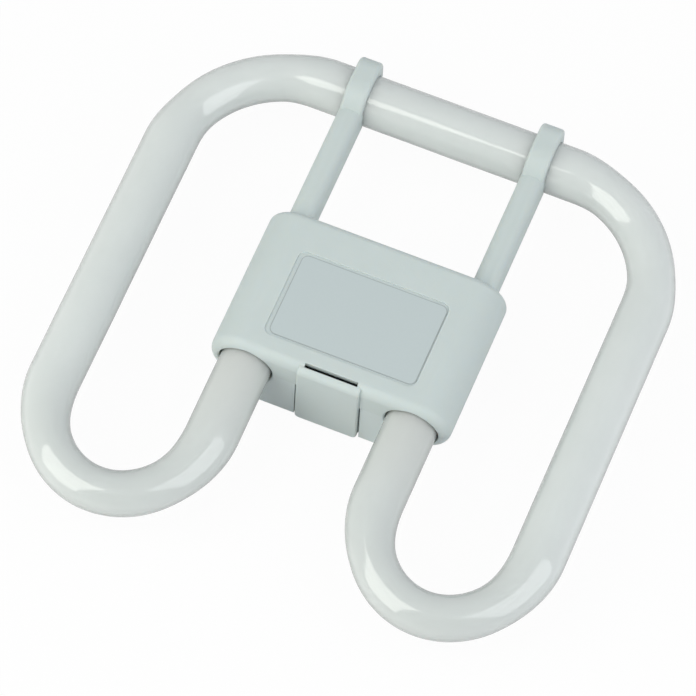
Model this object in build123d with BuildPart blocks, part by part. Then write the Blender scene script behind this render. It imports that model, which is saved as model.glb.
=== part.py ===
from build123d import *
import os

# Overall size of the lamp, in millimetres
LAMP_WIDTH = 205.0          # across the outer faces of the two side runs
LAMP_LENGTH = 206.5         # from the lower bends to the far side of the hooks
TUBE_HEIGHT = 22.5          # centre plane of the tube above the rear face

# Discharge tube, which is drawn thinner where it was bent
TUBE_DIAMETER = 19.7
BEND_DIAMETER = 16.8        # in the middle of a lower bend
BEND_REACH = 36.4           # from the start of a lower bend to its middle, longer than half round
BEND_EASE = 28.0            # length over which the tube narrows into a lower bend
CORNER_DIAMETER = 17.6      # in the middle of a corner
CORNER_EASE = 18.0
EASE_STEPS = 4
LEG_SPACING = 63.9          # between the centre lines of the two legs
FAR_STRAIGHT = 94.6         # straight part of the far run, which the hooks hold
LEG_END_SETBACK = 2.0       # legs end this far short of the cap's middle
TUBE_END_ROUND = 4.0
EXHAUST_TIP_DIAMETER = 3.6
EXHAUST_TIP_LENGTH = 3.0

# Cap, made of a front cover and a rear base that part on the tube's centre plane
CAP_OFFSET = 1.55           # middle of the cap, from the lamp's middle towards the far run
CAP_LENGTH = 60.0
CAP_WALL = 2.0
CAP_END_WALL = 2.5
CAP_LEG_END_ROUND = 4.0     # round the end that the legs enter
CAP_FAR_END_ROUND = 3.0
CAP_SIDE_ROOM = 2.4         # inside the cap, beside each leg
CAP_ROOF_ROOM = 0.75        # inside the cap, in front of and behind each leg
PORT_CLEARANCE = 0.45       # gap round each leg where it enters the cap
PORT_ROUND = 0.8

# Central box of the rear base, which holds the well for the lamp holder
BOX_SIDE_INSET = 3.95       # sides of the box, from the legs' centre lines inwards
BOX_CORNER_ROUND = 2.5
BOX_EDGE_ROUND = 0.8
BOX_FLOOR = 2.0
WELL_WIDTH = 30.0
WELL_LENGTH = 22.0
WELL_ROOM = 7.5             # from the well's floor up to the tube's centre plane
WELL_CORNER_ROUND = 2.0
WELL_WALL = 1.6
WELL_FLOOR = 2.0
WELL_LEAD_IN = 0.8

# Posts in the cover that take the pegs of the base
POST_DIAMETER = 6.4
POST_LEG_GAP = 2.2
POST_END_GAP = 3.3
PEG_DIAMETER = 3.0
PEG_LENGTH = 4.0
PEG_CLEARANCE = 0.15
PEG_END_GAP = 1.0

# Lip of the base that stands up inside the cover
LIP_HEIGHT = 1.6
LIP_THICKNESS = 1.0
LIP_CLEARANCE = 0.25
LIP_BOND_GAP = 2.5          # between the side lips and the silicone bands

# Arms and the hooks that hold the far run of the tube
ARM_OUTSET = 3.8            # centre lines of the arms, from the legs' centre lines outwards
ARM_WIDTH = 9.4
ARM_TOP = 6.6               # above the tube's centre plane
ARM_BOTTOM = 4.0            # below the tube's centre plane, as far as the hooks reach beyond the run
ARM_CROWN_ROUND = 3.6
ARM_FOOT_ROUND = 0.5
ARM_WALL = 1.8
ARM_SOLID_END = 3.0
ARM_NOTCH_CLEARANCE = 0.3
HOOK_CLEARANCE = 0.2
HOOK_WALL = 2.05
HOOK_WIDTH = 8.7
HOOK_CORNER_ROUND = 5.8     # beyond the run, between the front and the far side of a hook
HOOK_EDGE_ROUND = 1.3
HOOK_END_ROUND = 0.6

# Latch tongue of the cover, and the slot over its barb
TONGUE_WIDTH = 24.0
TONGUE_THICKNESS = 3.0
TONGUE_PROUD = 1.2          # outside the wall of the cap
TONGUE_TOP_DROP = 0.5       # below the front face
TONGUE_TOP_ROUND = 2.6
TONGUE_EDGE_ROUND = 0.8
TONGUE_CORNER_ROUND = 1.8
TONGUE_LIFT = 0.3           # above the rear face
TONGUE_SIDE_GAP = 0.6
TONGUE_BACK_GAP = 0.2
SLOT_WIDTH = 20.4
SLOT_DEPTH = 1.5
SLOT_EDGE_ROUND = 0.3
BARB_WIDTH = 12.0
BARB_REACH = 1.3
BARB_HEIGHT = 4.0
BARB_CATCH_HEIGHT = 9.0     # above the rear face
BARB_GAP = 0.25

# Field for the label on the front face
FIELD_SIDE_MARGIN = 4.5     # from the sides of the flat front face
FIELD_LEG_MARGIN = 8.8      # from the end that the legs enter
FIELD_FAR_MARGIN = 14.8
FIELD_ROUND = 3.0
FIELD_DEPTH = 0.5
FIELD_EDGE_ROUND = 0.2
LABEL_MARGIN = 1.0
LABEL_ROUND = 2.6
LABEL_THICKNESS = 0.2
LABEL_SHIFT = 0.6           # stuck on a little to one side

# Contact pins
PIN_SPACING_X = 10.0
PIN_SPACING_Y = 10.0
PIN_DIAMETER = 2.4
PIN_REACH = 8.0             # below the floor of the well
PIN_SEAT_DIAMETER = 2.9     # where the pin goes through that floor
PIN_HOLE_CLEARANCE = 0.05
PIN_FLANGE_DIAMETER = 4.2
PIN_FLANGE_THICKNESS = 0.8
PIN_TAIL_DIAMETER = 1.6
PIN_TAIL_LENGTH = 2.4

# Lead wires
WIRE_DIAMETER = 0.8
WIRE_SPACING = 7.6          # between the two wires in one end of the tube
WIRE_INNER_RUN = 6.0        # straight out of the tube before the first turn
WIRE_OUTER_RUN = 12.0
WIRE_APPROACH = 10.0        # from the last turn to the pin, across the lamp
WIRE_BEND_RADIUS = 2.0

# Silicone bands round the legs
BOND_LENGTH = 7.0
BOND_INSET = 4.0            # inside the cap's end wall
BOND_TUBE_GAP = 0.05
BOND_WALL_GAP = 0.1

tube_radius = TUBE_DIAMETER / 2
run_x = LAMP_WIDTH / 2 - tube_radius
leg_x = LEG_SPACING / 2
bend_y = -LAMP_LENGTH / 2 + BEND_DIAMETER / 2 + BEND_REACH
hook_radius = tube_radius + HOOK_CLEARANCE
hook_reach = hook_radius + HOOK_WALL
top_y = LAMP_LENGTH / 2 - hook_reach
corner_radius = run_x - FAR_STRAIGHT / 2
corner_y = top_y - corner_radius

cap_width = LEG_SPACING + 2 * (tube_radius + CAP_SIDE_ROOM + CAP_WALL)
cap_depth = tube_radius + CAP_ROOF_ROOM + CAP_WALL
cavity_width = cap_width - 2 * CAP_WALL
cavity_depth = cap_depth - CAP_WALL
cap_top = CAP_OFFSET + CAP_LENGTH / 2
cap_bottom = CAP_OFFSET - CAP_LENGTH / 2
inner_top = cap_top - CAP_END_WALL
inner_bottom = cap_bottom + CAP_END_WALL
leg_end_y = CAP_OFFSET - LEG_END_SETBACK
front_z = TUBE_HEIGHT + cap_depth
roof_z = front_z - CAP_WALL
port_radius = tube_radius + PORT_CLEARANCE
box_width = LEG_SPACING - 2 * BOX_SIDE_INSET
well_top = TUBE_HEIGHT - WELL_ROOM
well_depth = well_top - WELL_FLOOR
post_spacing_x = LEG_SPACING - TUBE_DIAMETER - POST_DIAMETER - 2 * POST_LEG_GAP
post_spacing_y = CAP_LENGTH - 2 * CAP_END_WALL - POST_DIAMETER - 2 * POST_END_GAP
arm_x = leg_x + ARM_OUTSET
tongue_outer_y = cap_bottom - TONGUE_PROUD
tongue_inner_y = tongue_outer_y + TONGUE_THICKNESS
pocket_y = tongue_inner_y + TONGUE_BACK_GAP
field_width = cap_width - 2 * cap_depth - 2 * FIELD_SIDE_MARGIN
field_length = CAP_LENGTH - FIELD_LEG_MARGIN - FIELD_FAR_MARGIN
field_shift = (FIELD_LEG_MARGIN - FIELD_FAR_MARGIN) / 2
lip_side_length = CAP_LENGTH - 2 * (CAP_END_WALL + BOND_INSET + BOND_LENGTH + LIP_BOND_GAP)
flange_top = well_top + PIN_FLANGE_THICKNESS
tail_top = flange_top + PIN_TAIL_LENGTH


def across(y):
    """Plane across the lamp at y, drawn about the tube's centre plane and facing the legs."""
    return Plane((0, y, TUBE_HEIGHT), x_dir=(1, 0, 0), z_dir=(0, -1, 0))


def level(z):
    """Plane parallel to the rear face at height z, drawn about the middle of the cap."""
    return Plane((0, CAP_OFFSET, z))


def keep_front():
    """Cut a section drawn about the parting plane down to its front half."""
    with Locations((0, -LAMP_WIDTH / 2)):
        Rectangle(LAMP_WIDTH, LAMP_WIDTH, mode=Mode.SUBTRACT)


def keep_rear():
    """Cut a section drawn about the parting plane down to its rear half."""
    with Locations((0, LAMP_WIDTH / 2)):
        Rectangle(LAMP_WIDTH, LAMP_WIDTH, mode=Mode.SUBTRACT)


def round_ends(shell, towards_front):
    """Round the outer edges at both ends of one half of the cap."""
    end_edges = shell.faces().filter_by(Axis.Y).edges()
    outer_edges = end_edges.filter_by(lambda e: towards_front * (e.center().Z - TUBE_HEIGHT) > CAP_WALL)
    by_end = outer_edges.group_by(Axis.Y)
    fillet(by_end[0], CAP_LEG_END_ROUND)
    fillet(by_end[-1], CAP_FAR_END_ROUND)


def tube_run(start, end):
    """Straight stretch of the tube."""
    with BuildLine(Plane.XY.offset(TUBE_HEIGHT)) as run:
        Line(start, end)
    with BuildSketch(Plane(run.wire() ^ 0)) as section:
        Circle(tube_radius)
    sweep(sections=section.sketch, path=run.wire())


def tube_bend(path, middle_diameter, ease):
    """Bent stretch of the tube, eased from its full size to its size in the middle and back."""
    eased = [ease * step / EASE_STEPS for step in range(EASE_STEPS + 1)]
    stations = eased + [path.length / 2] + [path.length - distance for distance in reversed(eased)]
    sections = []
    for distance in stations:
        share = min(1, distance / ease, (path.length - distance) / ease)
        narrowing = share * share * (3 - 2 * share)
        with BuildSketch(Plane(path ^ (distance / path.length))) as section:
            Circle(tube_radius - narrowing * (TUBE_DIAMETER - middle_diameter) / 2)
        sections.append(section.sketch)
    sweep(sections=sections, path=path, multisection=True)


def lower_bend(side):
    """Half oval from a leg to its side run."""
    with BuildLine(Plane.XY.offset(TUBE_HEIGHT)) as bend:
        middle = (side * (leg_x + run_x) / 2, bend_y)
        EllipticalCenterArc(middle, (run_x - leg_x) / 2, BEND_REACH, start_angle=180, arc_size=180)
    tube_bend(bend.wire(), BEND_DIAMETER, BEND_EASE)


def corner(side):
    """Quarter round from a side run to the far run."""
    with BuildLine(Plane.XY.offset(TUBE_HEIGHT)) as bend:
        JernArc((side * run_x, corner_y), (0, 1), corner_radius, side * 90)
    tube_bend(bend.wire(), CORNER_DIAMETER, CORNER_EASE)


def cut_ports():
    """Cut the round ports for the legs, each with a rolled outer rim."""
    for side in (-1, 1):
        with BuildSketch(Plane((side * leg_x, cap_bottom, TUBE_HEIGHT))) as port:
            with BuildLine():
                Line((0, CAP_END_WALL), (port_radius, CAP_END_WALL))
                Line((port_radius, CAP_END_WALL), (port_radius, PORT_ROUND))
                rim = JernArc((port_radius, PORT_ROUND), (0, -1), PORT_ROUND, 90)
                Line(rim @ 1, (port_radius + PORT_ROUND, -CAP_END_WALL))
                Line((port_radius + PORT_ROUND, -CAP_END_WALL), (0, -CAP_END_WALL))
                Line((0, -CAP_END_WALL), (0, CAP_END_WALL))
            make_face()
        leg_axis = Axis((side * leg_x, 0, TUBE_HEIGHT), (0, 1, 0))
        revolve(port.sketch, axis=leg_axis, mode=Mode.SUBTRACT)


# Discharge tube: two legs, two lower bends, two side runs, two corners and the far run
with BuildPart() as discharge_tube:
    for side in (-1, 1):
        tube_run((side * leg_x, leg_end_y), (side * leg_x, bend_y))
        lower_bend(side)
        tube_run((side * run_x, bend_y), (side * run_x, corner_y))
        corner(side)
    tube_run((-FAR_STRAIGHT / 2, top_y), (FAR_STRAIGHT / 2, top_y))
    # The sealed ends have rounded shoulders and the tip of the exhaust tube
    fillet(discharge_tube.faces().filter_by(GeomType.PLANE).edges(), TUBE_END_ROUND)
    with BuildSketch(across(leg_end_y)):
        with Locations((-leg_x, 0), (leg_x, 0)):
            Circle(EXHAUST_TIP_DIAMETER / 2)
    extrude(amount=-EXHAUST_TIP_LENGTH)
    tip_faces = discharge_tube.faces().filter_by(Axis.Y).group_by(Axis.Y)[-1]
    fillet(tip_faces.edges(), EXHAUST_TIP_DIAMETER / 3)
discharge_tube.part.label = "discharge_tube"


# Latch tongue: a proud tab that hangs from the cover over the wall of the base
with BuildPart() as latch_tongue:
    with BuildSketch(Plane.YZ) as tongue_profile:
        with BuildLine():
            Polyline(
                (tongue_outer_y, TONGUE_LIFT),
                (tongue_outer_y, front_z - TONGUE_TOP_DROP),
                (inner_bottom, front_z - TONGUE_TOP_DROP),
                (inner_bottom, TUBE_HEIGHT),
                (tongue_inner_y, TUBE_HEIGHT),
                (tongue_inner_y, TONGUE_LIFT),
                close=True,
            )
        make_face()
        outer_top = tongue_profile.vertices().group_by(Axis.X)[0].sort_by(Axis.Y)[-1]
        fillet(outer_top, TONGUE_TOP_ROUND)
    extrude(amount=TONGUE_WIDTH / 2, both=True)
    fillet(latch_tongue.edges().filter_by(Axis.Y).group_by(Axis.Z)[0], TONGUE_CORNER_ROUND)
    outer_face = latch_tongue.faces().filter_by(Axis.Y).sort_by(Axis.Y)[0]
    fillet(outer_face.edges().sort_by(Axis.Z)[:-1], TONGUE_EDGE_ROUND)
    # The barb has a flat catch above and a ramp below
    with BuildSketch(Plane.YZ):
        with BuildLine():
            Polyline(
                (tongue_inner_y, BARB_CATCH_HEIGHT),
                (tongue_inner_y + BARB_REACH, BARB_CATCH_HEIGHT),
                (tongue_inner_y, BARB_CATCH_HEIGHT - BARB_HEIGHT),
                close=True,
            )
        make_face()
    extrude(amount=BARB_WIDTH / 2, both=True)


# Hook: a strap over the front of the far run, round towards its arm and squarer beyond the run
with BuildPart() as hook:
    with BuildSketch(Plane.YZ) as hook_profile:
        with Locations((top_y, TUBE_HEIGHT)):
            Circle(hook_reach)
        with Locations((top_y, TUBE_HEIGHT - ARM_BOTTOM)):
            Rectangle(hook_reach, hook_reach + ARM_BOTTOM, align=(Align.MIN, Align.MIN))
            Rectangle(3 * hook_reach, hook_reach, align=(Align.CENTER, Align.MAX), mode=Mode.SUBTRACT)
        beyond_corner = hook_profile.vertices().group_by(Axis.X)[-1].sort_by(Axis.Y)[-1]
        fillet(beyond_corner, HOOK_CORNER_ROUND)
    extrude(amount=HOOK_WIDTH / 2, both=True)
    side_edges = hook.faces().filter_by(Axis.X).edges()
    fillet(side_edges.filter_by(lambda e: e.center().Z > TUBE_HEIGHT - ARM_BOTTOM / 2), HOOK_EDGE_ROUND)


# Front cover: shell, arms, hooks and latch tongue in one moulding
with BuildPart() as front_cover:
    with BuildSketch(across(cap_top)):
        SlotOverall(cap_width, 2 * cap_depth)
        keep_front()
    extrude(amount=CAP_LENGTH)
    round_ends(front_cover, 1)
    with BuildSketch(across(inner_top)):
        SlotOverall(cavity_width, 2 * cavity_depth)
        keep_front()
    extrude(amount=inner_top - inner_bottom, mode=Mode.SUBTRACT)

    # Posts hang from the roof and stop on the bosses of the base
    with BuildSketch(level(TUBE_HEIGHT)):
        with GridLocations(post_spacing_x, post_spacing_y, 2, 2):
            Circle(POST_DIAMETER / 2)
    extrude(amount=roof_z - TUBE_HEIGHT)
    with BuildSketch(level(TUBE_HEIGHT)):
        with GridLocations(post_spacing_x, post_spacing_y, 2, 2):
            Circle(PEG_DIAMETER / 2 + PEG_CLEARANCE)
    extrude(amount=PEG_LENGTH + PEG_END_GAP, mode=Mode.SUBTRACT)

    # Arms with a crowned front, hollowed from behind
    with BuildSketch(across(top_y)) as arm_section:
        with Locations((-arm_x, (ARM_TOP - ARM_BOTTOM) / 2), (arm_x, (ARM_TOP - ARM_BOTTOM) / 2)):
            Rectangle(ARM_WIDTH, ARM_TOP + ARM_BOTTOM)
        fillet(arm_section.vertices().group_by(Axis.Y)[-1], ARM_CROWN_ROUND)
        fillet(arm_section.vertices().group_by(Axis.Y)[0], ARM_FOOT_ROUND)
    extrude(amount=top_y - inner_top)
    channel_end = top_y - hook_reach - ARM_SOLID_END
    with BuildSketch(across(channel_end)) as channel:
        with Locations((-arm_x, -ARM_BOTTOM), (arm_x, -ARM_BOTTOM)):
            Rectangle(ARM_WIDTH - 2 * ARM_WALL, 2 * (ARM_TOP + ARM_BOTTOM - ARM_WALL))
        fillet(channel.vertices().group_by(Axis.Y)[-1], ARM_CROWN_ROUND - ARM_WALL)
    extrude(amount=channel_end - cap_top - ARM_SOLID_END, mode=Mode.SUBTRACT)

    # Hooks, and the round recess for the far run in hooks and arms
    with Locations((-arm_x, 0, 0), (arm_x, 0, 0)):
        add(hook.part)
    with BuildSketch(Plane.YZ):
        with Locations((top_y, TUBE_HEIGHT)):
            Circle(hook_radius)
    extrude(amount=arm_x + ARM_WIDTH, both=True, mode=Mode.SUBTRACT)
    beyond_run = front_cover.faces().filter_by(lambda f: f.center().Y > top_y + tube_radius / 2)
    strap_ends = beyond_run.filter_by(GeomType.PLANE).sort_by(Axis.Z)[:2]
    fillet(strap_ends.edges(), HOOK_END_ROUND)

    # Tongue, then the slot that runs down over its barb
    add(latch_tongue.part)
    with BuildSketch(Plane.XY.offset(TUBE_HEIGHT)):
        with Locations((0, tongue_inner_y + SLOT_DEPTH / 2)):
            Rectangle(SLOT_WIDTH, SLOT_DEPTH)
    extrude(amount=2 * cap_depth, mode=Mode.SUBTRACT)
    cross_edges = front_cover.edges().filter_by(Axis.X)
    slot_edges = cross_edges.filter_by_position(Axis.Y, tongue_inner_y, tongue_inner_y)
    fillet(slot_edges.group_by(Axis.Z)[-1], SLOT_EDGE_ROUND)

    cut_ports()

    # Sunk field for the label
    with BuildSketch(level(front_z)):
        with Locations((0, field_shift)):
            RectangleRounded(field_width, field_length, FIELD_ROUND)
    extrude(amount=-FIELD_DEPTH, mode=Mode.SUBTRACT)
    field_outline = front_cover.faces().filter_by(Axis.Z).sort_by(Axis.Z)[-1].inner_wires()[0]
    fillet(field_outline.edges(), FIELD_EDGE_ROUND)
front_cover.part.label = "front_cover"


# Box at the back of the rear base, between the legs
with BuildPart() as rear_box:
    with BuildSketch(level(0)):
        RectangleRounded(box_width, CAP_LENGTH, BOX_CORNER_ROUND)
    extrude(amount=TUBE_HEIGHT)
    fillet(rear_box.faces().sort_by(Axis.Z)[0].edges(), BOX_EDGE_ROUND)


# Rear base: flanks round the legs and the deeper box between them
with BuildPart() as rear_base:
    with BuildSketch(across(cap_top)):
        SlotOverall(cap_width, 2 * cap_depth)
        keep_rear()
    extrude(amount=CAP_LENGTH)
    round_ends(rear_base, -1)
    add(rear_box.part)
    with BuildSketch(across(inner_top)):
        SlotOverall(cavity_width, 2 * cavity_depth)
        keep_rear()
        with Locations((0, (BOX_FLOOR - TUBE_HEIGHT) / 2)):
            Rectangle(box_width - 2 * CAP_WALL, TUBE_HEIGHT - BOX_FLOOR)
    extrude(amount=inner_top - inner_bottom, mode=Mode.SUBTRACT)

    # The wall behind the tongue is stepped in, and has a window for the barb
    pocket_width = TONGUE_WIDTH + 2 * TONGUE_SIDE_GAP
    with BuildSketch(Plane.XY):
        with Locations((0, pocket_y + CAP_WALL / 2)):
            Rectangle(pocket_width + 2 * CAP_WALL, CAP_WALL)
    extrude(amount=TUBE_HEIGHT)
    with BuildSketch(Plane.XY):
        with Locations((0, pocket_y - CAP_END_WALL / 2)):
            Rectangle(pocket_width, CAP_END_WALL)
    extrude(amount=TUBE_HEIGHT, mode=Mode.SUBTRACT)
    with BuildSketch(Plane.XY.offset(BARB_CATCH_HEIGHT + BARB_GAP)):
        with Locations((0, pocket_y + CAP_WALL / 2)):
            Rectangle(BARB_WIDTH + 2 * TONGUE_SIDE_GAP, 2 * CAP_WALL)
    extrude(amount=-BARB_HEIGHT - 2 * BARB_GAP, mode=Mode.SUBTRACT)

    # Well for the lamp holder, open to the rear
    with BuildSketch(level(0)):
        outer_width, outer_length = WELL_WIDTH + 2 * WELL_WALL, WELL_LENGTH + 2 * WELL_WALL
        RectangleRounded(outer_width, outer_length, WELL_CORNER_ROUND + WELL_WALL)
    extrude(amount=well_top)
    with BuildSketch(level(0)):
        RectangleRounded(WELL_WIDTH, WELL_LENGTH, WELL_CORNER_ROUND)
    extrude(amount=well_depth, mode=Mode.SUBTRACT)
    mouth = rear_base.faces().filter_by(Axis.Z).sort_by(Axis.Z)[0].inner_wires()[0]
    chamfer(mouth.edges(), WELL_LEAD_IN)
    with BuildSketch(level(well_depth)):
        with GridLocations(PIN_SPACING_X, PIN_SPACING_Y, 2, 2):
            Circle(PIN_SEAT_DIAMETER / 2 + PIN_HOLE_CLEARANCE)
    extrude(amount=WELL_FLOOR, mode=Mode.SUBTRACT)

    # Bosses that carry the pegs
    with BuildSketch(level(BOX_FLOOR)):
        with GridLocations(post_spacing_x, post_spacing_y, 2, 2):
            Circle(POST_DIAMETER / 2)
    extrude(amount=TUBE_HEIGHT - BOX_FLOOR)
    with BuildSketch(level(TUBE_HEIGHT)):
        with GridLocations(post_spacing_x, post_spacing_y, 2, 2):
            Circle(PEG_DIAMETER / 2)
    extrude(amount=PEG_LENGTH)

    # Lip inside the cover, at both ends of the cap and between the arms, on a foot in the wall
    lip_x = cavity_width / 2 - LIP_CLEARANCE - LIP_THICKNESS / 2
    lip_y = inner_top - CAP_OFFSET - LIP_CLEARANCE - LIP_THICKNESS / 2
    lip_far_length = 2 * (arm_x - ARM_WIDTH / 2 - CAP_WALL)
    foot_overlap = LIP_CLEARANCE + CAP_WALL / 2
    with BuildSketch(level(TUBE_HEIGHT)):
        with Locations((-lip_x - foot_overlap / 2, 0), (lip_x + foot_overlap / 2, 0)):
            Rectangle(LIP_THICKNESS + foot_overlap, lip_side_length)
        with Locations((0, lip_y + foot_overlap / 2)):
            Rectangle(lip_far_length, LIP_THICKNESS + foot_overlap)
    extrude(amount=-LIP_HEIGHT)
    with BuildSketch(level(TUBE_HEIGHT)):
        with Locations((-lip_x, 0), (lip_x, 0)):
            Rectangle(LIP_THICKNESS, lip_side_length)
        with Locations((0, lip_y)):
            Rectangle(lip_far_length, LIP_THICKNESS)
    extrude(amount=LIP_HEIGHT)

    # Ports for the legs and notches for the arms
    cut_ports()
    with BuildSketch(across(cap_top)):
        with Locations((-arm_x, 0), (arm_x, 0)):
            Rectangle(ARM_WIDTH + 2 * ARM_NOTCH_CLEARANCE, 2 * (ARM_BOTTOM + ARM_NOTCH_CLEARANCE))
    extrude(amount=CAP_END_WALL, mode=Mode.SUBTRACT)
rear_base.part.label = "rear_base"


# Label in its field
with BuildPart() as rating_label:
    with BuildSketch(level(front_z - FIELD_DEPTH)):
        with Locations((LABEL_SHIFT, field_shift)):
            RectangleRounded(field_width - 2 * LABEL_MARGIN, field_length - 2 * LABEL_MARGIN, LABEL_ROUND)
    extrude(amount=LABEL_THICKNESS)
rating_label.part.label = "rating_label"


def contact_pin(pin_x, pin_y):
    """Turned pin: round nose, seat in the well's floor, flange on the floor and a tail above."""
    nose = PIN_DIAMETER / 2
    tip_z = well_depth - PIN_REACH
    with BuildPart() as pin:
        with BuildSketch(Plane((pin_x, pin_y, 0), x_dir=(1, 0, 0), z_dir=(0, -1, 0))):
            with BuildLine():
                Polyline(
                    (0, tip_z),
                    (0, tail_top),
                    (PIN_TAIL_DIAMETER / 2, tail_top),
                    (PIN_TAIL_DIAMETER / 2, flange_top),
                    (PIN_FLANGE_DIAMETER / 2, flange_top),
                    (PIN_FLANGE_DIAMETER / 2, well_top),
                    (PIN_SEAT_DIAMETER / 2, well_top),
                    (PIN_SEAT_DIAMETER / 2, well_depth),
                    (nose, well_depth),
                    (nose, tip_z + nose),
                )
                JernArc((nose, tip_z + nose), (0, -1), nose, -90)
            make_face()
        revolve(axis=Axis((pin_x, pin_y, 0), (0, 0, 1)))
    return pin.part


def lead_wire(start_x, run_out, pin_x, pin_y, approach):
    """Wire out of the tube's end, across the cap and down on to the tail of its pin."""
    turn_y = leg_end_y + run_out
    with BuildPart() as wire:
        with BuildLine() as route:
            FilletPolyline(
                (start_x, leg_end_y, TUBE_HEIGHT),
                (start_x, turn_y, TUBE_HEIGHT),
                (pin_x + approach, turn_y, TUBE_HEIGHT),
                (pin_x, pin_y, TUBE_HEIGHT),
                (pin_x, pin_y, tail_top),
                radius=WIRE_BEND_RADIUS,
            )
        with BuildSketch(Plane(route.wire() ^ 0)):
            Circle(WIRE_DIAMETER / 2)
        sweep()
    return wire.part


def tube_bond(side):
    """Silicone between one leg and the walls of its flank."""
    with BuildPart() as bond:
        with BuildSketch(across(inner_bottom + BOND_INSET)):
            SlotOverall(cavity_width - 2 * BOND_WALL_GAP, 2 * (cavity_depth - BOND_WALL_GAP))
            with Locations((side * (box_width / 2 - LAMP_WIDTH), 0)):
                Rectangle(2 * LAMP_WIDTH, LAMP_WIDTH, mode=Mode.SUBTRACT)
            with Locations((side * leg_x, 0)):
                Circle(tube_radius + BOND_TUBE_GAP, mode=Mode.SUBTRACT)
        extrude(amount=-BOND_LENGTH)
    return bond.part


nodes = [discharge_tube.part, front_cover.part, rear_base.part, rating_label.part]

pin_number = 0
for side, side_name in ((-1, "left"), (1, "right")):
    bond = tube_bond(side)
    bond.label = f"tube_bond_{side_name}"
    nodes.append(bond)
    for place, run_out in ((-1, WIRE_INNER_RUN), (1, WIRE_OUTER_RUN)):
        pin_number += 1
        pin_x = side * PIN_SPACING_X / 2
        pin_y = CAP_OFFSET + place * PIN_SPACING_Y / 2
        pin = contact_pin(pin_x, pin_y)
        pin.label = f"contact_pin_{pin_number}"
        start_x = side * (leg_x + place * WIRE_SPACING / 2)
        wire = lead_wire(start_x, run_out, pin_x, pin_y, side * WIRE_APPROACH)
        wire.label = f"lead_wire_{pin_number}"
        nodes += [pin, wire]

os.makedirs("parts", exist_ok=True)
for node in nodes:
    export_step(node, f"parts/{node.label}.step")
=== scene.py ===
import bmesh
import bpy
from math import cos, pi, radians, sin, tan
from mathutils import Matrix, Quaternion, Vector


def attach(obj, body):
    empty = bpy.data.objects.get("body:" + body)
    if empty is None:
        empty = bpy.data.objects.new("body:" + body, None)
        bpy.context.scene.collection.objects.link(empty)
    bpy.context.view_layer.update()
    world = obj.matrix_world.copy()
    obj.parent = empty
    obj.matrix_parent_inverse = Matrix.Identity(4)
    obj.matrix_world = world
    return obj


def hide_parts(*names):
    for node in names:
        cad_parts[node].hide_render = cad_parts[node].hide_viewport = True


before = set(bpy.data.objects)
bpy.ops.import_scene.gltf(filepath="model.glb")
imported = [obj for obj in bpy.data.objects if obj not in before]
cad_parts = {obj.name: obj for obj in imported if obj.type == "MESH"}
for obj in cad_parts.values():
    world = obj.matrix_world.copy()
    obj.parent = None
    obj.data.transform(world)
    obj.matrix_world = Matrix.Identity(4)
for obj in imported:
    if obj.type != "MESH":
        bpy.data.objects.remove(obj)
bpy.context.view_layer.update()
bpy.context.scene.view_settings.view_transform = "Standard"


# Discharge tube
# A soda glass tube with a white coating inside, bent hot into two loops in one plane, so that it is drawn
# thinner in the bends and its wall is faintly wavy. Its legs end inside the cap, sealed, each with a glass tip.
TUBE_RADIUS = 0.00985
TUBE_Z = 0.0225             # height of the plane that both loops lie in
LEG_X = 0.03195
RUN_X = 0.09265
LEG_END_Y = -0.00045
BEND_Y = -0.05845           # where the lower bends start
BEND_REACH = 0.0364         # how far a lower bend goes on from there
CORNER_Y = 0.0458           # where the corners start
FAR_Y = 0.09115
FAR_STRAIGHT = 0.0946
BEND_WIDTH = 0.853          # share of the full diameter that is left in the middle of a lower bend
CORNER_WIDTH = 0.893        # the same in the middle of a corner
CORNER_EASED = 22.7         # degrees of the corner over which the tube narrows
TUBE_ROUND_STEPS = 40
TUBE_LENGTH_STEPS = 24
TUBE_END_ROUND = 0.004
TUBE_END_STEPS = 5
TIP_RADIUS = 0.0018
TIP_LENGTH = 0.003
TIP_STEPS = 3
SEAM = 0.000005             # points of the two halves that lie nearer than this are one
WAVINESS = 0.00012
WAVE_LENGTH = 0.028


def knot(x, y, width=1.0):
    """Place on the tube's centre line where it is straight."""
    return {"place": Vector((x, y, TUBE_Z)), "width": width}


def bend_knot(middle, reach, turn, width):
    """Place on the centre line of a bend, with the way that the line heads there."""
    angle = radians(turn)
    made = knot(middle[0] + reach[0] * cos(angle), middle[1] + reach[1] * sin(angle), width)
    made["angle"] = angle
    made["heading"] = Vector((-reach[0] * sin(angle), reach[1] * cos(angle), 0))
    return made


corner_radius = RUN_X - FAR_STRAIGHT / 2
corner_middle = (FAR_STRAIGHT / 2, CORNER_Y)
corner_knots = ((90, 1.0), (90 - CORNER_EASED, CORNER_WIDTH), (CORNER_EASED, CORNER_WIDTH), (0, 1.0))
bend_middle = ((LEG_X + RUN_X) / 2, BEND_Y)
bend_reach = ((RUN_X - LEG_X) / 2, BEND_REACH)
bend_knots = ((0, 1.0), (-45, BEND_WIDTH), (-90, BEND_WIDTH), (-135, BEND_WIDTH), (-180, 1.0))

half_route = [knot(0, FAR_Y)]
for turn, width in corner_knots:
    half_route.append(bend_knot(corner_middle, (corner_radius, corner_radius), turn, width))
half_route.append(knot(RUN_X, (CORNER_Y + BEND_Y) / 2))
for turn, width in bend_knots:
    half_route.append(bend_knot(bend_middle, bend_reach, turn, width))
half_route.append(knot(LEG_X, LEG_END_Y))

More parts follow.
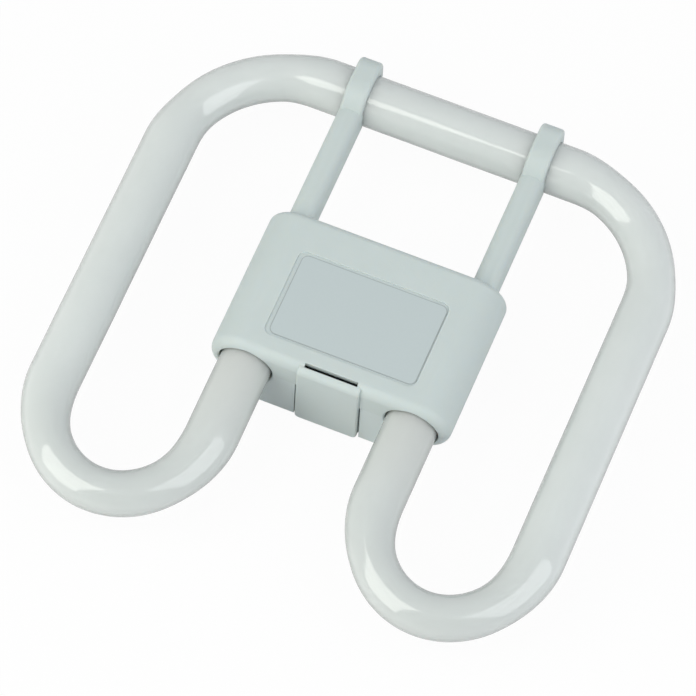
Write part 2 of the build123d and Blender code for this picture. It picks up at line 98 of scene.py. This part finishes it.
# Half of the tube, from the middle of the far run to the end of the right leg
bpy.ops.object.select_all(action="DESELECT")
bpy.ops.curve.primitive_bezier_curve_add(location=(0, 0, 0))
tube = bpy.context.object
tube.name = "coated_tube"
route = tube.data
route.dimensions = "3D"
route.bevel_depth = TUBE_RADIUS
route.bevel_resolution = TUBE_ROUND_STEPS
route.resolution_u = TUBE_LENGTH_STEPS
route.use_fill_caps = False
spline = route.splines[0]
spline.radius_interpolation = "EASE"
spline.bezier_points.add(len(half_route) - len(spline.bezier_points))
for point, made in zip(spline.bezier_points, half_route):
    point.handle_left_type = point.handle_right_type = "FREE"
    point.co = point.handle_left = point.handle_right = made["place"]
    point.radius = made["width"]
stations = list(zip(spline.bezier_points, half_route))
for (here, made), (there, reached) in zip(stations, stations[1:]):
    if "angle" in made and "angle" in reached:
        # Handles of this length keep the curve on the arc
        lever = 4 / 3 * tan((reached["angle"] - made["angle"]) / 4)
        here.handle_right = made["place"] + lever * made["heading"]
        there.handle_left = reached["place"] - lever * reached["heading"]
    else:
        here.handle_right = made["place"].lerp(reached["place"], 1 / 3)
        there.handle_left = made["place"].lerp(reached["place"], 2 / 3)
bpy.ops.object.convert(target="MESH")

# The leg is closed, its shoulder rounded and the tip drawn out of the end
bpy.ops.object.mode_set(mode="EDIT")
bpy.ops.mesh.select_mode(type="EDGE")
bpy.ops.mesh.select_all(action="DESELECT")
glass = bmesh.from_edit_mesh(tube.data)
for edge in glass.edges:
    edge.select_set(edge.is_boundary and all(vert.co.x > LEG_X / 2 for vert in edge.verts))
bmesh.update_edit_mesh(tube.data)
bpy.ops.mesh.edge_face_add()
bpy.ops.mesh.bevel(offset=TUBE_END_ROUND, offset_type="OFFSET", segments=TUBE_END_STEPS, affect="EDGES")
bpy.ops.mesh.select_mode(type="FACE")
bpy.ops.mesh.select_all(action="DESELECT")
glass = bmesh.from_edit_mesh(tube.data)
for face in glass.faces:
    # Only the face that closes the leg has more sides than a quad
    face.select_set(len(face.verts) > 4)
bmesh.update_edit_mesh(tube.data)
bpy.ops.mesh.inset(thickness=TUBE_RADIUS - TUBE_END_ROUND - TIP_RADIUS)
bpy.ops.mesh.extrude_region_move(TRANSFORM_OT_translate={"value": (0, TIP_LENGTH, 0)})
bpy.ops.mesh.bevel(offset=TIP_RADIUS / 2, segments=TIP_STEPS, affect="EDGES")
bpy.ops.object.mode_set(mode="OBJECT")

# The other half, then the unevenness that the hot bending left in the wall
other_half = tube.modifiers.new("other_half", "MIRROR")
other_half.use_axis = (True, False, False)
other_half.merge_threshold = SEAM
bpy.ops.object.modifier_apply(modifier=other_half.name)
bpy.ops.object.mode_set(mode="EDIT")
bpy.ops.mesh.select_all(action="SELECT")
bpy.ops.mesh.remove_doubles(threshold=SEAM)
bpy.ops.mesh.normals_make_consistent(inside=False)
bpy.ops.object.mode_set(mode="OBJECT")
uneven_wall = bpy.data.textures.new("uneven_wall", "CLOUDS")
uneven_wall.noise_scale = WAVE_LENGTH
uneven_wall.noise_depth = 1
hot_bending = tube.modifiers.new("hot_bending", "DISPLACE")
hot_bending.texture = uneven_wall
hot_bending.texture_coords = "LOCAL"
hot_bending.strength = WAVINESS
hot_bending.mid_level = 1.0     # so that the wall is only ever drawn inwards
bpy.ops.object.modifier_apply(modifier=hot_bending.name)
bpy.ops.object.shade_smooth()


def feed(tree, value, socket):
    """Link what another node puts out to a socket, or set a plain value on it."""
    if isinstance(value, bpy.types.NodeSocket):
        tree.links.new(value, socket)
    else:
        socket.default_value = value


def place_node(tree, kind, values=None, **settings):
    """Node of one kind, with its settings and with what feeds its sockets, by their names or numbers."""
    made = tree.nodes.new("ShaderNode" + kind)
    for name, setting in settings.items():
        setattr(made, name, setting)
    for name, value in (values or {}).items():
        feed(tree, value, made.inputs[name])
    return made


def work_out(tree, operation, first, second):
    """What a Math node makes of two values."""
    return place_node(tree, "Math", {0: first, 1: second}, operation=operation).outputs[0]


def mix_colours(tree, share, first, second):
    """Colour between the first and the second, by a share."""
    made = place_node(tree, "Mix", data_type="RGBA")
    share_socket, first_socket, second_socket = made.inputs[0], made.inputs[6], made.inputs[7]
    feed(tree, share, share_socket)
    feed(tree, (*first, 1) if isinstance(first, tuple) else first, first_socket)
    feed(tree, (*second, 1), second_socket)
    return made.outputs[2]


def new_finish(name):
    """Material with a Principled shader, and what its nodes are placed with."""
    finish = bpy.data.materials.new(name)
    finish.use_nodes = True
    return finish, finish.node_tree, finish.node_tree.nodes["Principled BSDF"]


def dress(tree, shader, values):
    """Feed the sockets of a material's shader."""
    for name, value in values.items():
        feed(tree, value, shader.inputs[name])


# The coating is a little uneven in density, and the legs are greyer towards the cap: partly the darkening where the
# electrodes are, partly painted shade from the cap
COATING_DARK = (0.60, 0.635, 0.625)
COATING_LIGHT = (0.65, 0.68, 0.67)
LEG_GREY_AND_SHADE = (0.52, 0.535, 0.515)
LEG_GREY_AND_SHADE_SHARE = 0.6
LEG_GREY_AND_SHADE_START_Y = -0.085
LEG_GREY_AND_SHADE_FULL_Y = -0.030
LEG_SIDE_X = 0.055          # the legs lie nearer to the middle than this, and the runs further out
LEG_LIMIT_Y = 0.03          # the legs lie before this, and the far run behind it
coated_glass, tree, shader = new_finish("coated_glass")
coords = place_node(tree, "TexCoord").outputs["Object"]
density = place_node(tree, "TexNoise", {"Vector": coords, "Scale": 45.0, "Detail": 3.0, "Roughness": 0.55})
coating = mix_colours(tree, density.outputs["Fac"], COATING_DARK, COATING_LIGHT)
axes = place_node(tree, "SeparateXYZ", {0: coords}).outputs
near_cap = place_node(tree, "MapRange", {"Value": axes["Y"], "From Min": LEG_GREY_AND_SHADE_START_Y, "From Max": LEG_GREY_AND_SHADE_FULL_Y},
                      interpolation_type="SMOOTHSTEP").outputs["Result"]
off_middle = place_node(tree, "Math", {0: axes["X"]}, operation="ABSOLUTE").outputs[0]
beside_run = work_out(tree, "LESS_THAN", off_middle, LEG_SIDE_X)
before_far_run = work_out(tree, "LESS_THAN", axes["Y"], LEG_LIMIT_Y)
on_leg = work_out(tree, "MULTIPLY", beside_run, before_far_run)
greyed_and_shaded = work_out(tree, "MULTIPLY", near_cap, on_leg)
coating = mix_colours(tree, work_out(tree, "MULTIPLY", greyed_and_shaded, LEG_GREY_AND_SHADE_SHARE), coating, LEG_GREY_AND_SHADE)

# The tube is painted greyer towards the bottoms of the lower bends, as painted shade
BEND_SHADE = (0.545, 0.575, 0.565)
BEND_SHADE_SHARE = 0.8
BEND_SHADE_START_Y = -0.045
BEND_SHADE_FULL_Y = -0.085
bend_shade = place_node(tree, "MapRange", {"Value": axes["Y"], "From Min": BEND_SHADE_START_Y,
                                          "From Max": BEND_SHADE_FULL_Y, "To Max": BEND_SHADE_SHARE},
                       interpolation_type="SMOOTHSTEP").outputs["Result"]
coating = mix_colours(tree, bend_shade, coating, BEND_SHADE)

# Along the outline of the tube, where the clear wall is seen edge-on, the colour is painted darker and a little green:
# painted shade and reflection that move with the view
PAINTED_OUTLINE = (0.16, 0.18, 0.17)
PAINTED_OUTLINE_SHARE = 0.8
PAINTED_OUTLINE_START = 0.46      # how far the wall has to turn away before the painted outline starts, where 1 is side-on
turned_away = place_node(tree, "LayerWeight", {"Blend": 0.5}).outputs["Facing"]
painted_outline_shade = place_node(tree, "MapRange", {"Value": turned_away, "From Min": PAINTED_OUTLINE_START, "From Max": 1.0,
                                        "To Max": PAINTED_OUTLINE_SHARE}).outputs["Result"]
dress(tree, shader, {
    "Base Color": mix_colours(tree, painted_outline_shade, coating, PAINTED_OUTLINE),
    "Roughness": 0.3,
    "Specular IOR Level": 0.15,
    "Subsurface Weight": 1.0,
    "Subsurface Radius": (1.0, 1.0, 1.0),
    "Subsurface Scale": 0.015,
    "Coat Weight": 1.0,
    "Coat Roughness": 0.02,
    "Coat IOR": 1.65,
})
tube.data.materials.append(coated_glass)
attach(tube, "root")
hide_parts("discharge_tube")


# Silicone bands
# Two rings of white silicone rubber round the legs, squeezed in from a nozzle before the cover went on.
# They hold the glass in the cap without straining it.
SILICONE_DARK = (0.68, 0.68, 0.66)
SILICONE_LIGHT = (0.78, 0.78, 0.76)


def vary_roughness(tree, pattern, at_zero, at_one):
    """Roughness that follows a pattern, from its value where that is zero to its value where it is one."""
    return place_node(tree, "MapRange", {"Value": pattern, "To Min": at_zero, "To Max": at_one}).outputs["Result"]


def raise_surface(tree, pattern, strength, height):
    """Normal of a surface that a pattern raises by up to a height."""
    return place_node(tree, "Bump", {"Height": pattern, "Strength": strength, "Distance": height}).outputs["Normal"]


def give_finish(node, finish):
    """Put a material on a CAD piece in place of the one it came with."""
    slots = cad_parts[node].material_slots
    if not slots:
        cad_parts[node].data.materials.append(finish)
    for slot in slots:
        slot.material = finish


silicone, tree, shader = new_finish("white_silicone")
coords = place_node(tree, "TexCoord").outputs["Object"]
ripple = place_node(tree, "TexNoise", {"Vector": coords, "Scale": 420.0, "Detail": 3.0}).outputs["Fac"]
dress(tree, shader, {
    "Base Color": mix_colours(tree, ripple, SILICONE_DARK, SILICONE_LIGHT),
    "Roughness": vary_roughness(tree, ripple, at_zero=0.35, at_one=0.6),
    "Normal": raise_surface(tree, ripple, strength=0.4, height=0.0004),
})
for side_name in ("left", "right"):
    give_finish(f"tube_bond_{side_name}", silicone)


# Lead wires
# Four tinned copper wires sealed into the ends of the legs, bent by hand across the cap
# and soldered to the tails of the pins.
TIN_DULL = (0.50, 0.49, 0.47)
TIN_BRIGHT = (0.66, 0.65, 0.63)
tinned_wire, tree, shader = new_finish("tinned_wire")
coords = place_node(tree, "TexCoord").outputs["Object"]
tinning = place_node(tree, "TexNoise", {"Vector": coords, "Scale": 900.0, "Detail": 4.0}).outputs["Fac"]
dress(tree, shader, {
    "Base Color": mix_colours(tree, tinning, TIN_DULL, TIN_BRIGHT),
    "Roughness": vary_roughness(tree, tinning, at_zero=0.25, at_one=0.5),
    "Metallic": 1.0,
})
for number in range(1, 5):
    give_finish(f"lead_wire_{number}", tinned_wire)


# Contact pins
# Four brass pins turned on a lathe, with a round nose and a flange, pressed through the floor of the well.
# The turning left fine rings round them, and handling has dulled the brass in patches.
BRASS_DULL = (0.62, 0.44, 0.19)
BRASS_BRIGHT = (0.80, 0.62, 0.31)
turned_brass, tree, shader = new_finish("turned_brass")
coords = place_node(tree, "TexCoord").outputs["Object"]
tarnish = place_node(tree, "TexNoise", {"Vector": coords, "Scale": 650.0, "Detail": 5.0,
                                        "Roughness": 0.6}).outputs["Fac"]
tool_rings = place_node(tree, "TexWave", {"Vector": coords, "Scale": 1500.0, "Distortion": 0.6},
                        wave_type="BANDS", bands_direction="Z").outputs["Fac"]
dress(tree, shader, {
    "Base Color": mix_colours(tree, tarnish, BRASS_DULL, BRASS_BRIGHT),
    "Roughness": vary_roughness(tree, tarnish, at_zero=0.45, at_one=0.2),
    "Normal": raise_surface(tree, tool_rings, strength=0.15, height=0.00002),
    "Metallic": 1.0,
})
for number in range(1, 5):
    give_finish(f"contact_pin_{number}", turned_brass)


# Rear base
# The back half of the cap, an injection moulding in white PBT that carries the pins in its well and the legs
# in its half ports. The tool's spark-eroded skin gives it a fine satin grain.
# The base is painted a shade lighter than the cover, though both are the same PBT: painted light that lifts the shade
# on its walls
BASE_LIFTED_DARK = (0.565, 0.63, 0.63)
BASE_LIFTED_LIGHT = (0.595, 0.66, 0.66)
moulded_skin = bpy.data.node_groups.new("moulded_skin", "ShaderNodeTree")
for name in ("Grain Scale", "Mottle Scale"):
    moulded_skin.interface.new_socket(name, in_out="INPUT", socket_type="NodeSocketFloat")
for name in ("Grain", "Mottle"):
    moulded_skin.interface.new_socket(name, in_out="OUTPUT", socket_type="NodeSocketFloat")
scales = moulded_skin.nodes.new("NodeGroupInput").outputs
patterns = moulded_skin.nodes.new("NodeGroupOutput").inputs
coords = place_node(moulded_skin, "TexCoord").outputs["Object"]
grain = place_node(moulded_skin, "TexNoise", {"Vector": coords, "Scale": scales["Grain Scale"], "Detail": 3.0,
                                              "Roughness": 0.6})
feed(moulded_skin, grain.outputs["Fac"], patterns["Grain"])
mottle = place_node(moulded_skin, "TexNoise", {"Vector": coords, "Scale": scales["Mottle Scale"], "Detail": 2.0,
                                               "Distortion": 0.8})
feed(moulded_skin, mottle.outputs["Fac"], patterns["Mottle"])


def moulded_plastic(name, dark, light, smooth, rough):
    """White moulded plastic with a faint mottle and the grain of the tool."""
    finish, tree, shader = new_finish(name)
    skin = tree.nodes.new("ShaderNodeGroup")
    skin.node_tree = moulded_skin
    skin.inputs["Grain Scale"].default_value = 2200.0
    skin.inputs["Mottle Scale"].default_value = 38.0
    dress(tree, shader, {
        "Base Color": mix_colours(tree, skin.outputs["Mottle"], dark, light),
        "Roughness": vary_roughness(tree, skin.outputs["Grain"], smooth, rough),
        "Normal": raise_surface(tree, skin.outputs["Grain"], strength=0.25, height=0.00004),
        "Subsurface Weight": 0.3,
        "Subsurface Radius": (1.0, 0.8, 0.6),
        "Subsurface Scale": 0.003,
    })
    return finish


# Painted a shade lighter than the cover, as painted light on its shaded walls
give_finish("rear_base", moulded_plastic("base_plastic_painted_lighter", BASE_LIFTED_DARK, BASE_LIFTED_LIGHT, smooth=0.40, rough=0.58))


# Front cover
# The front half of the cap with the two arms, their hooks and the latch tongue, all one moulding in the same
# white PBT. It is pushed on over the pegs of the base until the barb of the tongue snaps into its window.
COVER_DARK = (0.535, 0.60, 0.593)
COVER_LIGHT = (0.565, 0.63, 0.623)
give_finish("front_cover", moulded_plastic("cover_plastic", COVER_DARK, COVER_LIGHT, smooth=0.38, rough=0.55))


# Rating label
# A thin matt film stuck into the sunk field of the cover, a shade bluer than the plastic, left bare.
# It was punched out with round corners, and a thin grey line along its cut edge is painted shadow.
LABEL_ROUND = 0.0026
EDGE_SHADOW_WIDTH = 0.0003
FILM_DARK = (0.475, 0.54, 0.548)
FILM_LIGHT = (0.50, 0.565, 0.573)
EDGE_SHADOW_GREY = (0.36, 0.405, 0.41)
label_film, tree, shader = new_finish("label_film")
coords = place_node(tree, "TexCoord").outputs["Object"]
fibre = place_node(tree, "TexNoise", {"Vector": coords, "Scale": 1300.0, "Detail": 4.0,
                                      "Roughness": 0.65}).outputs["Fac"]
film = mix_colours(tree, fibre, FILM_DARK, FILM_LIGHT)

# How far a point lies past the start of the round corners tells where the cut edge is
label_box = [Vector(corner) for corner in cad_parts["rating_label"].bound_box]
label_low, label_high = label_box[0], label_box[6]
label_half = (label_high - label_low) / 2
corner_start = label_half - Vector((LABEL_ROUND, LABEL_ROUND, 0))
from_middle = place_node(tree, "VectorMath", {0: coords, 1: (label_low + label_high) / 2}, operation="SUBTRACT")
either_side = place_node(tree, "VectorMath", {0: from_middle.outputs[0]}, operation="ABSOLUTE")
past_corner = place_node(tree, "VectorMath", {0: either_side.outputs[0], 1: corner_start}, operation="SUBTRACT")
near_edge = place_node(tree, "VectorMath", {0: past_corner.outputs[0]}, operation="MAXIMUM")
edge_reach = place_node(tree, "VectorMath", {0: near_edge.outputs[0]}, operation="LENGTH").outputs["Value"]
# The grey line along the cut edge is painted shadow
on_edge_shadow = work_out(tree, "GREATER_THAN", edge_reach, LABEL_ROUND - EDGE_SHADOW_WIDTH)
dress(tree, shader, {
    "Base Color": mix_colours(tree, on_edge_shadow, film, EDGE_SHADOW_GREY),
    "Roughness": vary_roughness(tree, fibre, at_zero=0.35, at_one=0.5),
    "Normal": raise_surface(tree, fibre, strength=0.12, height=0.00003),
})
give_finish("rating_label", label_film)


# Table
# A plain white table that the lamp lies on. The camera sees it white, and it keeps the lamp's faint shadow.
TABLE_SIZE = 6.0
TABLE_Z = -0.0004
TABLE_PAINT = (0.78, 0.78, 0.78, 1)
TABLE_WHITE_SHARE = 0.95    # of plain white in what the camera sees, where the rest is lit paint
MIRRORED_WHITE_SHARE = 0.2  # the same in what gloss mirrors
WHITE = (1, 1, 1, 1)


def white_share(tree, straight, mirrored):
    """Share of plain white for rays from the camera or through glass, and for mirrored rays."""
    path = place_node(tree, "LightPath").outputs
    seen = work_out(tree, "MAXIMUM", path["Is Camera Ray"], path["Is Transmission Ray"])
    return work_out(tree, "ADD", work_out(tree, "MULTIPLY", seen, straight),
                    work_out(tree, "MULTIPLY", path["Is Glossy Ray"], mirrored))


bpy.ops.object.select_all(action="DESELECT")
bpy.ops.mesh.primitive_plane_add(size=TABLE_SIZE, location=(0, 0, TABLE_Z))
table = bpy.context.object
table.name = "table"
table_white, tree, shader = new_finish("table_white")
tree.nodes.remove(shader)
paint = place_node(tree, "BsdfDiffuse", {"Color": TABLE_PAINT})
plain_white = place_node(tree, "Emission", {"Color": WHITE, "Strength": 1.0})
surface = place_node(tree, "MixShader", {0: white_share(tree, TABLE_WHITE_SHARE, MIRRORED_WHITE_SHARE),
                                         1: paint.outputs[0], 2: plain_white.outputs[0]})
feed(tree, surface.outputs[0], tree.nodes["Material Output"].inputs["Surface"])
table.data.materials.append(table_white)


# Room
# A pale room that lights the lamp from all sides, with a darker gap in front, between the two softboxes.
# The camera sees plain white in its place.
ROOM_COLOUR = (0.975, 1.0, 1.03, 1)
ROOM_STRENGTH = 0.525
GAP_STRENGTH = 0.215
GAP_WAY = (0.21, -0.79, 0.57)
GAP_EDGE = 0.80             # cosine of the angle from the gap's middle at which it starts
GAP_FULL = 0.97             # and of the angle at which it is full
ROOM_WHITE_SHARE = 1.0
room = bpy.data.worlds.new("studio")
bpy.context.scene.world = room
room.use_nodes = True
tree = room.node_tree
way = place_node(tree, "TexCoord").outputs["Generated"]
towards_gap = place_node(tree, "VectorMath", {0: way, 1: GAP_WAY}, operation="DOT_PRODUCT").outputs["Value"]
dark_gap = place_node(tree, "MapRange", {"Value": towards_gap, "From Min": GAP_EDGE, "From Max": GAP_FULL,
                                         "To Min": ROOM_STRENGTH, "To Max": GAP_STRENGTH},
                      interpolation_type="SMOOTHSTEP").outputs["Result"]
walls = tree.nodes["Background"]
feed(tree, ROOM_COLOUR, walls.inputs["Color"])
feed(tree, dark_gap, walls.inputs["Strength"])
backdrop = place_node(tree, "Background", {"Color": WHITE, "Strength": 1.0})
surface = place_node(tree, "MixShader", {0: white_share(tree, ROOM_WHITE_SHARE, MIRRORED_WHITE_SHARE),
                                         1: walls.outputs[0], 2: backdrop.outputs[0]})
feed(tree, surface.outputs[0], tree.nodes["World Output"].inputs["Surface"])


# Softboxes
# Two rectangular lamps to the left and right of the camera, aimed at the middle of the object.
# They make the two highlights on each bend of the tube.
def softbox(name, place, roll, width, height, radiance, tint):
    """Softbox at a place, turned by a roll in degrees about the line to the object."""
    panel = bpy.data.lights.new(name, "AREA")
    panel.shape = "RECTANGLE"
    panel.size, panel.size_y = width, height
    panel.energy = radiance * pi * width * height
    panel.color = tint
    holder = bpy.data.objects.new(name, panel)
    bpy.context.scene.collection.objects.link(holder)
    holder.location = place
    facing = (-Vector(place)).to_track_quat("-Z", "Y")
    holder.rotation_euler = (facing @ Quaternion((0, 0, 1), radians(roll))).to_euler()


softbox("softbox_left", place=(-0.666, -0.643, 0.763), roll=10, width=0.88, height=1.45,
        radiance=2.62, tint=(1.0, 1.0, 0.93))
softbox("softbox_right", place=(0.964, -0.118, 0.705), roll=0, width=0.87, height=1.45,
        radiance=1.74, tint=(0.98, 0.99, 1.0))


# Camera
# Its place, turn and lens are fitted to the outline of the tube in the photograph.
camera = bpy.data.objects.new("camera", bpy.data.cameras.new("camera"))
bpy.context.scene.collection.objects.link(camera)
bpy.context.scene.camera = camera
camera.location = (0.299, -0.89827, 1.7859)
camera.rotation_euler = (0.48871, -0.0327, 0.38589)
camera.data.sensor_width = 36.0
camera.data.lens = 288.11
